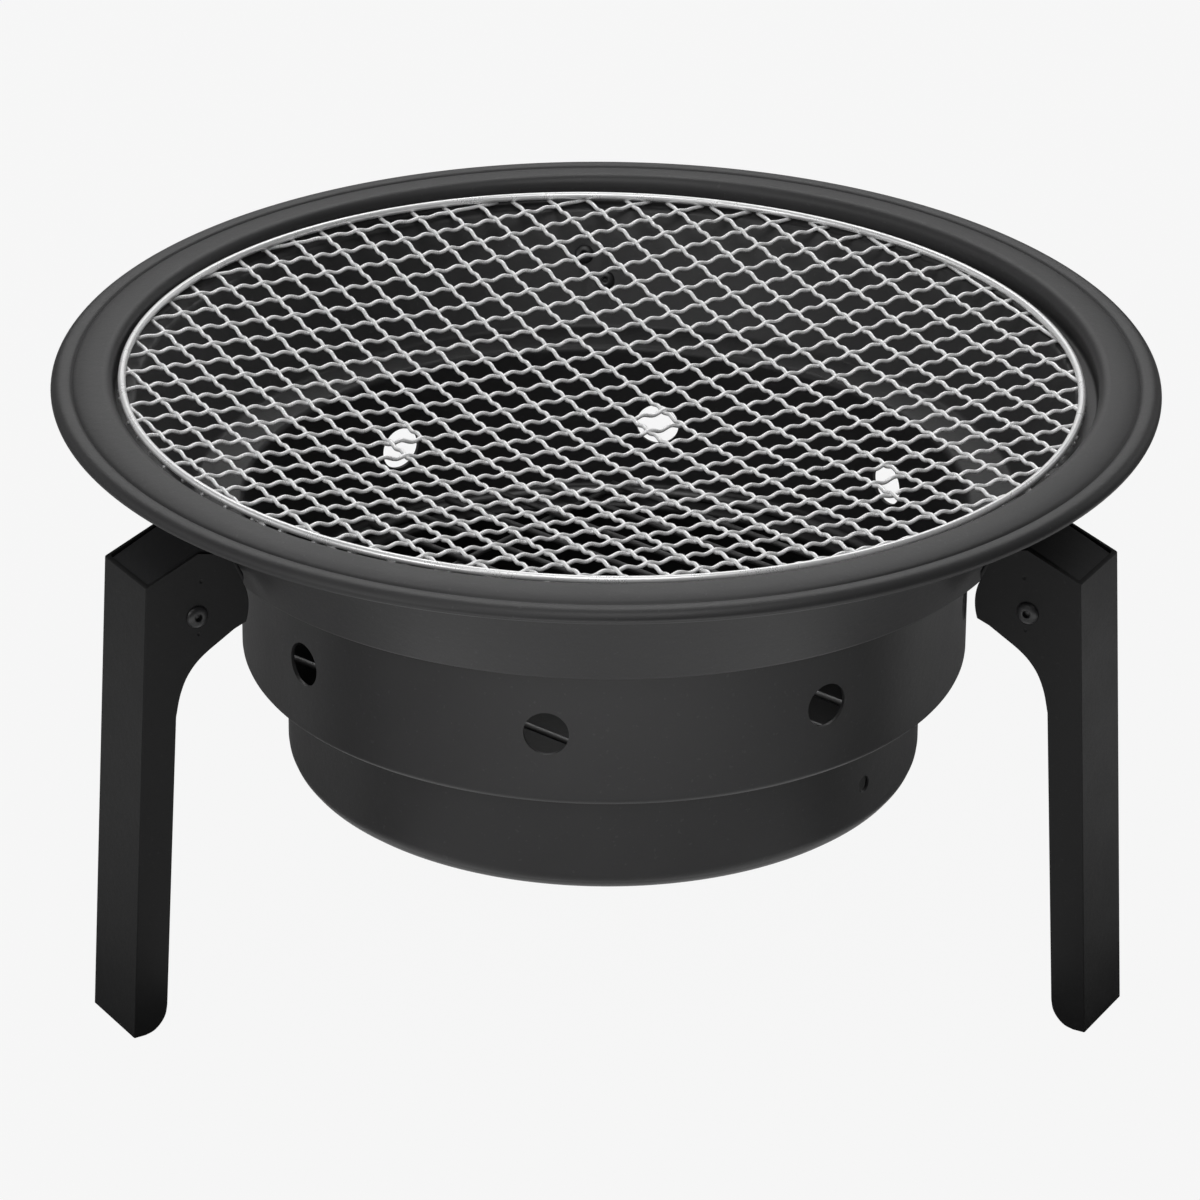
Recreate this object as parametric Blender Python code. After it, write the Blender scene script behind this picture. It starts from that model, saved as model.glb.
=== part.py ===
"""Portable tabletop grill: a stepped round fire bowl on three folding channel
legs, a lift-off woven cooking grate and a lift-out charcoal grate.

Metres, +Z up.  The origin is on the bowl's axis, at the table's surface.
The legs stand at 90, 210 and 330 degrees round the axis from +X; the front of
the grill faces -Y.
"""
import math

import bmesh
import bpy
from mathutils import Matrix, Vector

# ------------------------------------------------------------------ sizes (m)
RIM_Z = 0.1815            # centre of the rolled rim bead above the table
SHEET = 0.0012            # steel sheet of the bowl, legs and brackets
GAP = 0.0003              # working gap between touching pieces

BEAD_R = 0.1730           # radius of the bead's centre line
BEAD_T = 0.0022           # radius of the bead itself
CREST_Z = 0.0037          # top of the flange above the bead's centre
SEAT_R = 0.1554           # inner wall above the grate seat
SEAT_Z = -0.0050          # grate seat below the bead's centre
CONE_TOP_R = 0.1486       # inner edge of the seat
STEP1_R, STEP1_Z = 0.1310, -0.0408   # upper band's inner corner
DRUM_R = 0.1150           # inside of the middle drum
STEP2_Z = -0.0917         # ledge that carries the charcoal grate
ASH_R = 0.1006            # inside of the ash drum
FLOOR_Z = -0.1299         # inside of the bowl's floor

VENT_COUNT = 8
VENT_R = 0.0071           # air vents in the middle drum
VENT_Z = -0.0686
VENT_PHASE = 34.6         # degrees
DRAIN_R = 0.0029          # small hole in the ash drum
DRAIN_Z = -0.1135
DRAIN_ANGLE = 322.2

HOOP_R = 0.1515           # cooking grate: hoop's centre line
HOOP_WIRE = 0.00125
MESH_PITCH = 0.0230       # every second wire of the woven mesh
MESH_WIRE = 0.0022
MESH_THICK = 0.0009
MESH_SAG = 0.0127
GRATE_TILT = (-0.0099, 0.0112)   # radians about X and Y: the loose grate lies askew
MESH_ANGLE = 27.0
MESH_EDGE_R = 0.1515

CHAR_RING_R = 0.1070      # charcoal grate
CHAR_RING_WIRE = 0.0015
CHAR_BAR_WIRE = 0.0010
CHAR_BAR_COUNT = 12
CHAR_BAR_PITCH = 0.0154
CHAR_BAR_SHIFT = -0.0012
CHAR_ANGLE = -42.0
CHAR_DRIFT = {0: 0.0020, 5: -0.0018}   # bars that sit a little off their pitch
CHAR_TIE = 0.068

LEG_AZIMUTHS = {"rear": 90.0, "front_left": 210.0, "front_right": 330.0}
LEG_WIDTH = 0.0270
LEG_TOP_R, LEG_TOP_Z = 0.1724, -0.0270     # outer face, upper edge
LEG_FOOT_R = 0.1802                        # outer face at the table
PIVOT_R, PIVOT_Z = 0.1550, -0.0405         # fold axis of a leg
BRACKET_WIDTH = 0.0240

RIVET_SHANK = 0.0020
RUNNING_R = 0.00212        # hole a leg turns in
RIVET_HEAD = 0.00365
PIN_SHANK = 0.0016        # the rivets that hold a bracket on the bowl
PIN_HEAD = 0.0032


# ------------------------------------------------------------------- helpers
def clear_scene():
    for ob in list(bpy.data.objects):
        bpy.data.objects.remove(ob, do_unlink=True)


def material(name, colour, metallic, roughness):
    mat = bpy.data.materials.new(name)
    mat.use_nodes = True
    node = mat.node_tree.nodes["Principled BSDF"]
    node.inputs["Base Color"].default_value = (*colour, 1.0)
    node.inputs["Metallic"].default_value = metallic
    node.inputs["Roughness"].default_value = roughness
    return mat


def new_object(name, bm, mat, angle=35.0):
    """Turn a bmesh into a linked object, faces outward, shaded smooth."""
    bmesh.ops.remove_doubles(bm, verts=bm.verts, dist=2e-6)
    bmesh.ops.recalc_face_normals(bm, faces=bm.faces)
    mesh = bpy.data.meshes.new(name)
    bm.to_mesh(mesh)
    bm.free()
    mesh.shade_smooth()
    mesh.set_sharp_from_angle(angle=math.radians(angle))
    ob = bpy.data.objects.new(name, mesh)
    bpy.context.scene.collection.objects.link(ob)
    if mat is not None:
        mesh.materials.append(mat)
    return ob


def fillet(points, radii, steps):
    """Round the corners of an open polyline of (r, z) points."""
    out = [Vector(points[0])]
    for i in range(1, len(points) - 1):
        a, b, c = (Vector(points[j]) for j in (i - 1, i, i + 1))
        rad, n = radii[i], steps[i]
        u, v = (a - b).normalized(), (c - b).normalized()
        half = math.acos(max(-1.0, min(1.0, u.dot(v)))) / 2
        if rad <= 0 or n < 1 or half > math.radians(89):
            out.append(b)
            continue
        cut = rad / math.tan(half)
        centre = b + (u + v).normalized() * (rad / math.sin(half))
        p, q = b + u * cut - centre, b + v * cut - centre
        sweep = p.angle_signed(q)
        for k in range(n + 1):
            t = -sweep * k / n
            out.append(centre + Vector((p.x * math.cos(t) - p.y * math.sin(t),
                                        p.x * math.sin(t) + p.y * math.cos(t))))
    out.append(Vector(points[-1]))
    return out


def offset(points, distance):
    """Shift an open polyline sideways (to its right), keeping sheet thickness."""
    out = []
    for i, p in enumerate(points):
        d0 = (p - points[i - 1]).normalized() if i else None
        d1 = (points[i + 1] - p).normalized() if i + 1 < len(points) else None
        d0, d1 = d0 or d1, d1 or d0
        n0, n1 = Vector((d0.y, -d0.x)), Vector((d1.y, -d1.x))
        m = (n0 + n1).normalized()
        out.append(p + m * (distance / max(0.35, m.dot(n0))))
    return out


def lathe(profile, count, matrix=None):
    """Spin a closed (r, z) outline once round the local Z axis."""
    bm = bmesh.new()
    verts = [bm.verts.new((max(0.0, p[0]), 0.0, p[1])) for p in profile]
    edges = [bm.edges.new((verts[i], verts[(i + 1) % len(verts)]))
             for i in range(len(verts))
             if not (profile[i][0] < 1e-9 and profile[(i + 1) % len(verts)][0] < 1e-9)]
    bmesh.ops.spin(bm, geom=verts + edges, cent=(0, 0, 0), axis=(0, 0, 1),
                   angle=2 * math.pi, steps=count, use_duplicate=False)
    bmesh.ops.remove_doubles(bm, verts=bm.verts, dist=2e-6)
    bmesh.ops.dissolve_degenerate(bm, dist=2e-6, edges=bm.edges)
    if matrix is not None:
        bmesh.ops.transform(bm, matrix=matrix, verts=bm.verts)
    return bm


def ring(radius, wire, count, sides):
    turn = math.pi / sides
    prof = [(radius + wire * math.cos(2 * math.pi * k / sides + turn),
             wire * math.sin(2 * math.pi * k / sides + turn)) for k in range(sides)]
    return lathe(prof, count)


def prism(outline, y0, y1):
    """A flat (x, z) outline pulled along Y from y0 to y1."""
    bm = bmesh.new()
    face = bm.faces.new([bm.verts.new((x, y0, z)) for x, z in outline])
    top = bmesh.ops.extrude_face_region(bm, geom=[face])
    moved = [g for g in top["geom"] if isinstance(g, bmesh.types.BMVert)]
    bmesh.ops.translate(bm, verts=moved, vec=(0, y1 - y0, 0))
    bmesh.ops.recalc_face_normals(bm, faces=bm.faces)
    return bm


def rod(length, radius, sides, matrix):
    bm = bmesh.new()
    bmesh.ops.create_cone(bm, cap_ends=True, cap_tris=False, segments=sides,
                          radius1=radius, radius2=radius, depth=length,
                          matrix=matrix)
    return bm


def cutter(name, bm):
    ob = new_object(name, bm, None)
    ob.hide_render = True
    ob.display_type = "WIRE"
    return ob


def cut(ob, tool, operation="DIFFERENCE"):
    mod = ob.modifiers.new(operation.lower(), "BOOLEAN")
    mod.operation = operation
    mod.solver = "EXACT"
    mod.object = tool
    return mod


def baked(ob):
    """The object's mesh with its modifiers applied, as a new mesh."""
    bpy.context.view_layer.update()
    graph = bpy.context.evaluated_depsgraph_get()
    mesh = bpy.data.meshes.new_from_object(ob.evaluated_get(graph))
    mesh.name = ob.name
    mesh.shade_smooth()
    mesh.set_sharp_from_angle(angle=math.radians(35))
    return mesh


def polar(radius, degrees, z=0.0):
    a = math.radians(degrees)
    return Vector((radius * math.cos(a), radius * math.sin(a), z))


def join_into(target, extra):
    """Append the geometry of one bmesh to another."""
    mesh = bpy.data.meshes.new("tmp")
    extra.to_mesh(mesh)
    extra.free()
    target.from_mesh(mesh)
    bpy.data.meshes.remove(mesh)


# ----------------------------------------------------------------- fire bowl
def bowl_profile():
    """Sheet outline from the bead down the steps to the floor's centre."""
    inner = [(BEAD_R - 0.0024, 0.0010), (0.1655, 0.0026), (SEAT_R, CREST_Z + 0.0003),
             (SEAT_R, SEAT_Z), (CONE_TOP_R, SEAT_Z), (STEP1_R, STEP1_Z),
             (DRUM_R, STEP1_Z), (DRUM_R, STEP2_Z), (ASH_R, STEP2_Z),
             (ASH_R, FLOOR_Z), (0.0, FLOOR_Z)]
    radii = [0, 0, 0.0034, 0, 0.0020, 0.0020, 0.0026, 0.0016, 0.0026, 0.0056, 0]
    steps = [0, 0, 2, 0, 1, 1, 1, 1, 1, 2, 0]
    top = fillet(inner, radii, steps)
    under = offset(top, -SHEET)
    under[-1].x = 0.0
    bead = []
    for k in range(7):
        a = math.radians(150 - 50 * k)
        bead.append(Vector((BEAD_R + BEAD_T * math.cos(a), BEAD_T * math.sin(a))))
    outline = list(reversed(top)) + bead + under
    return [(p.x, p.y + RIM_Z) for p in outline]


def cone_normal():
    """Outward direction (r, z) of the upper band's outer face."""
    d = Vector((CONE_TOP_R - STEP1_R, SEAT_Z - STEP1_Z)).normalized()
    return Vector((d.y, -d.x))


def cone_outer(z):
    """Radius of the upper band's outer face at height z below the bead."""
    n = cone_normal()
    slope = (CONE_TOP_R - STEP1_R) / (SEAT_Z - STEP1_Z)
    inner_r = STEP1_R + (z - STEP1_Z) * slope
    return inner_r + SHEET / n.x


def radial_tool(radius, azimuth, z, r0, r1, sides=16):
    """A cylinder lying along a radius, for a round hole in a drum."""
    mid = polar((r0 + r1) / 2, azimuth, RIM_Z + z)
    turn = (Matrix.Translation(mid) @ Matrix.Rotation(math.radians(azimuth), 4, "Z")
            @ Matrix.Rotation(math.pi / 2, 4, "Y"))
    return rod(r1 - r0, radius, sides, turn)


PINS = ((0.0035, -0.0193), (-0.0035, -0.0272))   # (sideways, height) of the bracket rivets


def pin_matrix(azimuth, side, z):
    """Frame of a bracket rivet: local Z points out of the bowl, origin on the
    upper band's outer face."""
    n = cone_normal()
    tilt = math.atan2(n.x, n.y)            # from +Z towards +X
    base = Vector((cone_outer(z), side, RIM_Z + z))
    spin = Matrix.Rotation(math.radians(azimuth), 4, "Z")
    return spin @ Matrix.Translation(base) @ Matrix.Rotation(tilt, 4, "Y")


def build_bowl(mat):
    bowl = new_object("fire_bowl", lathe(bowl_profile(), 48), mat, 32)
    tools = bmesh.new()
    for k in range(VENT_COUNT):
        join_into(tools, radial_tool(VENT_R, VENT_PHASE + 360.0 / VENT_COUNT * k,
                                     VENT_Z, DRUM_R - 0.006, DRUM_R + 0.006))
    join_into(tools, radial_tool(DRAIN_R, DRAIN_ANGLE, DRAIN_Z,
                                 ASH_R - 0.005, ASH_R + 0.005, 12))
    for az in LEG_AZIMUTHS.values():
        for side, z in PINS:
            join_into(tools, rod(0.010, PIN_SHANK + GAP, 10, pin_matrix(az, side, z)))
    cut(bowl, cutter("cutter_vents", tools))
    return bowl


# -------------------------------------------------------------- cooking grate
def dish(radius):
    """Height of the mesh's middle plane: it sags below the hoop like a dish."""
    edge = -HOOP_WIRE - GAP - MESH_THICK / 2
    return edge - MESH_SAG * max(0.0, 1 - (radius / 0.1505) ** 2) ** 1.5


def build_grate(mat):
    hoop = new_object("grate_hoop", ring(HOOP_R, HOOP_WIRE, 48, 6), mat, 70)
    hoop.location = (0, 0, RIM_Z)
    hoop.rotation_euler = (GRATE_TILT[0], GRATE_TILT[1], 0)

    count = int(MESH_EDGE_R / MESH_PITCH) + 2
    marks = []
    for k in range(-count, count):
        mid = (k + 0.5) * MESH_PITCH
        marks += [mid - MESH_WIRE / 2, mid + MESH_WIRE / 2]
    bm = bmesh.new()
    grid = [[bm.verts.new((x, y, 0)) for y in marks] for x in marks]
    for i in range(len(marks) - 1):
        for j in range(len(marks) - 1):
            if i % 2 and j % 2:
                continue                       # an opening between four wires
            bm.faces.new((grid[i][j], grid[i + 1][j], grid[i + 1][j + 1], grid[i][j + 1]))
    top = bmesh.ops.extrude_face_region(bm, geom=bm.faces[:])
    moved = [g for g in top["geom"] if isinstance(g, bmesh.types.BMVert)]
    bmesh.ops.translate(bm, verts=moved, vec=(0, 0, MESH_THICK))
    bmesh.ops.rotate(bm, verts=bm.verts, cent=(0, 0, 0),
                     matrix=Matrix.Rotation(math.radians(MESH_ANGLE), 3, "Z"))
    lattice = new_object("grate_mesh", bm, mat, 35)
    disc = cutter("cutter_mesh_edge", rod(0.02, MESH_EDGE_R, 48, Matrix.Identity(4)))
    cut(lattice, disc, "INTERSECT")
    mesh = baked(lattice)
    lattice.modifiers.clear()
    bpy.data.objects.remove(disc, do_unlink=True)

    # keep the connected lattice, drop clipped crumbs, then sag it
    bm = bmesh.new()
    bm.from_mesh(mesh)
    todo, groups = set(bm.verts), []
    while todo:
        stack, seen = [next(iter(todo))], set()
        while stack:
            v = stack.pop()
            if v in seen:
                continue
            seen.add(v)
            stack.extend(e.other_vert(v) for e in v.link_edges)
        groups.append(seen)
        todo -= seen
    groups.sort(key=len)
    for crumbs in groups[:-1]:
        bmesh.ops.delete(bm, geom=list(crumbs), context="VERTS")
    for v in bm.verts:
        v.co.z += dish(math.hypot(v.co.x, v.co.y)) - MESH_THICK / 2
    bmesh.ops.triangulate(bm, faces=bm.faces[:])
    bm.to_mesh(mesh)
    bm.free()
    lattice.data = mesh
    lattice.location = (0, 0, RIM_Z)
    lattice.rotation_euler = (GRATE_TILT[0], GRATE_TILT[1], 0)
    return hoop, lattice


# ------------------------------------------------------------- charcoal grate
def build_charcoal_grate(mat):
    z_ring = STEP2_Z + GAP + CHAR_RING_WIRE
    z_bar = z_ring + CHAR_RING_WIRE + GAP + CHAR_BAR_WIRE
    z_cross = z_ring
    hoop = new_object("charcoal_ring", ring(CHAR_RING_R, CHAR_RING_WIRE, 40, 6), mat, 70)
    hoop.location = (0, 0, RIM_Z + z_ring)
    out = [hoop]
    turn = Matrix.Rotation(math.radians(CHAR_ANGLE), 4, "Z")
    for k in range(CHAR_BAR_COUNT):
        off = ((k - (CHAR_BAR_COUNT - 1) / 2) * CHAR_BAR_PITCH + CHAR_BAR_SHIFT
               + CHAR_DRIFT.get(k, 0.0))
        half = math.sqrt(CHAR_RING_R ** 2 - off ** 2) + 0.0008
        mat4 = (turn @ Matrix.Translation((0, off, 0))
                @ Matrix.Rotation(math.pi / 2, 4, "Y"))
        bar = new_object("charcoal_bar_%02d" % (k + 1),
                         rod(2 * half, CHAR_BAR_WIRE, 8, mat4), mat, 50)
        bar.location = (0, 0, RIM_Z + z_bar)
        out.append(bar)
    for k, off in enumerate((-CHAR_TIE, CHAR_TIE)):
        reach = math.sqrt((CHAR_RING_R - CHAR_RING_WIRE - GAP) ** 2
                          - (abs(off) + CHAR_BAR_WIRE) ** 2)
        mat4 = (turn @ Matrix.Translation((off, 0, 0))
                @ Matrix.Rotation(math.pi / 2, 4, "X"))
        tie = new_object("charcoal_tie_%d" % (k + 1),
                         rod(2 * reach, CHAR_BAR_WIRE, 8, mat4), mat, 50)
        tie.location = (0, 0, RIM_Z + z_bar - 2 * CHAR_BAR_WIRE - GAP)
        out.append(tie)
    return out


# ------------------------------------------------------------ legs, brackets
def web_outer(z):
    """Radius of a leg's outer face at height z below the bead."""
    t = (LEG_TOP_Z - z) / (LEG_TOP_Z + RIM_Z)
    return LEG_TOP_R + (LEG_FOOT_R - LEG_TOP_R) * t


def arc(radius, start, end, count):
    out = []
    for k in range(count + 1):
        a = math.radians(start + (end - start) * k / count)
        out.append((PIVOT_R + radius * math.cos(a), PIVOT_Z + radius * math.sin(a)))
    return out


def leg_outline():
    """Side view (radius, height below the bead) of a leg."""
    out = [(LEG_TOP_R, LEG_TOP_Z), (0.1720, -0.0266), (0.1539, -0.0194)]
    out += arc(0.0206, 104, 127, 2)
    out += arc(0.0180, 160, 201, 4)
    out += [(0.1470, -0.0506), (0.1522, -0.0536), (0.1560, -0.0566),
            (0.1592, -0.0607), (0.1615, -0.0662), (0.1630, -0.0730)]
    low = -RIM_Z
    out += [(0.1683, low + 0.0085), (0.1690, low + 0.0055), (0.1709, low + 0.0026),
            (0.1735, low + 0.0007), (0.1765, low)]
    out += [(LEG_FOOT_R, low)]
    return out


def local(points):
    """Move side-view points so that the pivot is the origin."""
    return [(r - PIVOT_R, z - PIVOT_Z) for r, z in points]


def build_leg_mesh(mat):
    half = LEG_WIDTH / 2
    leg = new_object("leg_blank", prism(local(leg_outline()), -half, half), mat, 25)
    edge = leg.modifiers.new("bend", "BEVEL")
    edge.limit_method = "WEIGHT"
    edge.width = 0.0014
    edge.segments = 1
    weights = leg.data.attributes.new("bevel_weight_edge", "FLOAT", "EDGE")
    x_face = [web_outer(LEG_TOP_Z) - PIVOT_R, LEG_FOOT_R - PIVOT_R]
    z_face = [LEG_TOP_Z - PIVOT_Z, -RIM_Z - PIVOT_Z]
    for e in leg.data.edges:
        a, b = (leg.data.vertices[i].co for i in e.vertices)
        lo, hi = sorted((a, b), key=lambda c: c.z)
        if (abs(a.y - b.y) < 1e-6 and abs(hi.x - x_face[0]) < 1e-5
                and abs(hi.z - z_face[0]) < 1e-5 and abs(lo.x - x_face[1]) < 1e-5
                and abs(lo.z - z_face[1]) < 1e-5):
            weights.data[e.index].value = 1.0

    # the channel's hollow, open at the top, at the bottom and to the inside
    z_top, z_low = 0.02, -RIM_Z - 0.01
    hollow = local([(web_outer(z_top) - SHEET, z_top), (0.120, z_top),
                    (0.120, z_low), (web_outer(z_low) - SHEET, z_low)])
    inner = half - SHEET
    cut(leg, cutter("cutter_leg_hollow", prism(hollow, -inner, inner)))
    side = Matrix.Rotation(math.pi / 2, 4, "X")
    cut(leg, cutter("cutter_leg_pivot", rod(0.05, RUNNING_R, 16, side)))
    mesh = baked(leg)
    for ob in [leg] + [m.object for m in leg.modifiers if m.type == "BOOLEAN"]:
        bpy.data.objects.remove(ob, do_unlink=True)
    return mesh


def build_bracket_mesh(mat):
    """Inverted channel with a back plate against the bowl's upper band."""
    n = cone_normal()
    z_hi, z_lo = -0.0153, -0.0308
    face = [(cone_outer(z) + n.x * GAP, z + n.y * GAP) for z in (z_hi, z_lo)]
    nose = (0.1710, -0.0268)
    outline = [nose, face[0], face[1], (0.1392, -0.0415), (0.1420, -0.0455),
               (0.1490, -0.0495), (0.1560, -0.0530), (0.1625, -0.0505),
               (0.1680, -0.0440), (0.1708, -0.0370)]
    half = BRACKET_WIDTH / 2
    ob = new_object("bracket_blank", prism(local(outline), -half, half), mat, 25)
    top = (Vector(face[0]) - Vector(nose)).normalized()
    down = Vector((top.y, -top.x)) * SHEET
    if down.y > 0:
        down = -down
    a = Vector(nose) + down + (Vector(nose) - Vector(face[0])).normalized() * 0.01
    back = Vector((n.x, n.y)) * SHEET
    b0, b1 = Vector(face[0]) + back, Vector(face[1]) + back
    slope = (b1 - b0).normalized()
    line = Vector(nose) + down
    # where the top plate's underside meets the back plate's outer side
    det = top.x * slope.y - top.y * slope.x
    t = ((b0.x - line.x) * slope.y - (b0.y - line.y) * slope.x) / det
    corner = line + top * t
    foot = b1 + slope * 0.03
    hollow = [tuple(a), tuple(corner), tuple(foot), (0.150, -0.075), (0.185, -0.075),
              (0.185, a.y)]
    inner = half - SHEET
    cut(ob, cutter("cutter_bracket_hollow", prism(local(hollow), -inner, inner)))
    tools = rod(0.05, RUNNING_R, 16, Matrix.Rotation(math.pi / 2, 4, "X"))
    shift = Matrix.Translation((-PIVOT_R, 0, -(RIM_Z + PIVOT_Z)))
    for side, z in PINS:
        join_into(tools, rod(0.010, PIN_SHANK + GAP, 10, shift @ pin_matrix(0, side, z)))
    cut(ob, cutter("cutter_bracket_holes", tools))
    mesh = baked(ob)
    for o in [ob] + [m.object for m in ob.modifiers if m.type == "BOOLEAN"]:
        bpy.data.objects.remove(o, do_unlink=True)
    return mesh


def rivet_profile(shank, head, inside, outside, eye):
    """Blind rivet along Z: head above 'outside', upset tail below 'inside'."""
    return [(0.0, outside + 0.0002), (eye, outside + 0.0002), (eye, outside + 0.0013),
            (head * 0.72, outside + 0.0011), (head, outside + 0.0002), (head, outside),
            (shank, outside), (shank, inside), (shank * 1.3, inside),
            (shank * 1.3, inside - 0.0012), (0.0, inside - 0.0012)]


def place(name, mesh, azimuth):
    ob = bpy.data.objects.new(name, mesh)
    ob.location = polar(PIVOT_R, azimuth, RIM_Z + PIVOT_Z)
    ob.rotation_euler = (0, 0, math.radians(azimuth))
    bpy.context.scene.collection.objects.link(ob)
    return ob


def build_legs(leg_mat, rivet_mat):
    leg_mesh = build_leg_mesh(leg_mat)
    leg_mesh.name = "leg"
    bracket_mesh = build_bracket_mesh(leg_mat)
    bracket_mesh.name = "bracket"

    outside = LEG_WIDTH / 2 + GAP
    inside = BRACKET_WIDTH / 2 - SHEET - GAP
    pivot = new_object("rivet_blank", lathe(rivet_profile(
        RIVET_SHANK, RIVET_HEAD, inside, outside, 0.0011), 10), rivet_mat, 40)
    pin = new_object("pin_blank", lathe(rivet_profile(
        PIN_SHANK, PIN_HEAD, -(GAP + SHEET + GAP), SHEET + 2 * GAP, 0.0009), 10),
        rivet_mat, 40)

    for tag, azimuth in LEG_AZIMUTHS.items():
        place("leg_" + tag, leg_mesh, azimuth)
        place("bracket_" + tag, bracket_mesh, azimuth)
        for hand, sign in (("left", -1), ("right", 1)):
            ob = place("pivot_rivet_%s_%s" % (tag, hand), pivot.data, azimuth)
            ob.rotation_euler = (sign * -math.pi / 2, 0, math.radians(azimuth))
        for level, (side, z) in zip(("upper", "lower"), PINS):
            ob = bpy.data.objects.new("bracket_rivet_%s_%s" % (tag, level), pin.data)
            # the head lies inside the bowl, so the rivet's Z points inward
            ob.matrix_world = pin_matrix(azimuth, side, z) @ Matrix.Rotation(math.pi, 4, "X")
            bpy.context.scene.collection.objects.link(ob)
    bpy.data.objects.remove(pivot, do_unlink=True)
    bpy.data.objects.remove(pin, do_unlink=True)


def main():
    clear_scene()
    enamel = material("black_enamel", (0.030, 0.030, 0.032), 0.0, 0.42)
    coat = material("black_coat", (0.018, 0.018, 0.019), 0.0, 0.55)
    bright = material("bright_wire", (0.86, 0.86, 0.86), 1.0, 0.22)
    dull = material("dull_wire", (0.42, 0.42, 0.42), 1.0, 0.45)
    build_bowl(enamel)
    build_grate(bright)
    build_charcoal_grate(dull)
    build_legs(coat, coat)


main()
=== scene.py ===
import math

import bmesh
import bpy
import numpy as np
from mathutils import Matrix, Vector

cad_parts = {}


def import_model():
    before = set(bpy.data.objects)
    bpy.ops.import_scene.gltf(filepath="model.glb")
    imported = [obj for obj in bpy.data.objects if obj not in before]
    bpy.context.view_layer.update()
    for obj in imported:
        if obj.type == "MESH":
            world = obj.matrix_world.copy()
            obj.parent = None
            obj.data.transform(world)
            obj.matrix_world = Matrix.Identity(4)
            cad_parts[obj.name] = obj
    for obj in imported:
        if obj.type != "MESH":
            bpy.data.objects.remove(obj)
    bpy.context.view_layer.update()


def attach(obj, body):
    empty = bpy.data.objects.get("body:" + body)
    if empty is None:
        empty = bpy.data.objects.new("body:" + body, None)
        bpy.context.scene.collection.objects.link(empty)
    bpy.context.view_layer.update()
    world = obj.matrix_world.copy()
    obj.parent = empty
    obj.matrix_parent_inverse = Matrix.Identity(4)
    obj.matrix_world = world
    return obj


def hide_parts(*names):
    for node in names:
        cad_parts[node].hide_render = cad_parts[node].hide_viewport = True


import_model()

# ------------------------------------------------------------ sizes (metres)
# They repeat the CAD's own constants: origin on the bowl's axis at the table.
RIM_Z = 0.1815
SHEET = 0.0012
GAP = 0.0003
BEAD_R, BEAD_T = 0.1730, 0.0022
SEAT_R, SEAT_Z, CONE_TOP_R = 0.1554, -0.0050, 0.1486
STEP1_R, STEP1_Z = 0.1310, -0.0408
DRUM_R, STEP2_Z = 0.1150, -0.0917
ASH_R, FLOOR_Z = 0.1006, -0.1299
VENT_R, VENT_Z, VENT_PHASE = 0.0071, -0.0686, 34.6
DRAIN_R, DRAIN_Z, DRAIN_ANGLE = 0.0029, -0.1135, 322.2
HOOP_R, HOOP_WIRE = 0.1515, 0.00125
GRATE_SHIFT = (-0.0013, 0.0)         # the loose grate lies a little to the left
GRATE_TILT = (-0.0099, 0.0112)       # and slightly askew: radians about X and Y
# The mesh is crimped three half waves to a cell: U and V are its two cell sides.
WEAVE_U, WEAVE_V = (0.010201, 0.005629), (0.005174, -0.010445)
WEAVE_PHASE = (0.2864, -0.4802)
WEAVE_WIRE, WEAVE_WAVES, WEAVE_SAG = 0.00068, (-0.00042, 0.00050), 0.0127
CHAR_RING_R, CHAR_RING_WIRE = 0.1070, 0.0015
CHAR_BAR_WIRE, CHAR_BAR_COUNT, CHAR_BAR_PITCH = 0.0010, 12, 0.0154
CHAR_BAR_SHIFT, CHAR_ANGLE, CHAR_TIE = -0.0012, -42.0, 0.068
CHAR_DRIFT = {0: 0.0020, 5: -0.0018}
LEGS = {"rear": 90.0, "front_left": 210.0, "front_right": 330.0}
LEG_WIDTH = 0.0270
LEG_TOP_R, LEG_TOP_Z, LEG_FOOT_R = 0.1724, -0.0270, 0.1802
PIVOT_R, PIVOT_Z = 0.1550, -0.0405
BRACKET_WIDTH = 0.0240
RIVET_SHANK, RIVET_HEAD, RUNNING_R = 0.0020, 0.00365, 0.00212
PIN_SHANK, PIN_HEAD = 0.0016, 0.0032
PINS = ((0.0035, -0.0193), (-0.0035, -0.0272))


# ------------------------------------------------------------------- helpers
def link(name, mesh):
    ob = bpy.data.objects.new(name, mesh)
    bpy.context.scene.collection.objects.link(ob)
    return ob


def from_bm(name, bm, sharp=32.0, weld=2e-6):
    bmesh.ops.remove_doubles(bm, verts=bm.verts, dist=weld)
    bmesh.ops.recalc_face_normals(bm, faces=bm.faces)
    mesh = bpy.data.meshes.new(name)
    bm.to_mesh(mesh)
    bm.free()
    mesh.shade_smooth()
    if sharp:
        mesh.set_sharp_from_angle(angle=math.radians(sharp))
    return link(name, mesh)


def from_arrays(name, verts, faces, sharp=None):
    mesh = bpy.data.meshes.new(name)
    mesh.from_pydata(verts.tolist(), [], faces.tolist() if hasattr(faces, "tolist") else faces)
    mesh.validate()
    mesh.shade_smooth()
    if sharp:
        mesh.set_sharp_from_angle(angle=math.radians(sharp))
    return link(name, mesh)


def polar(radius, degrees, z=0.0):
    a = math.radians(degrees)
    return Vector((radius * math.cos(a), radius * math.sin(a), z))


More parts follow.
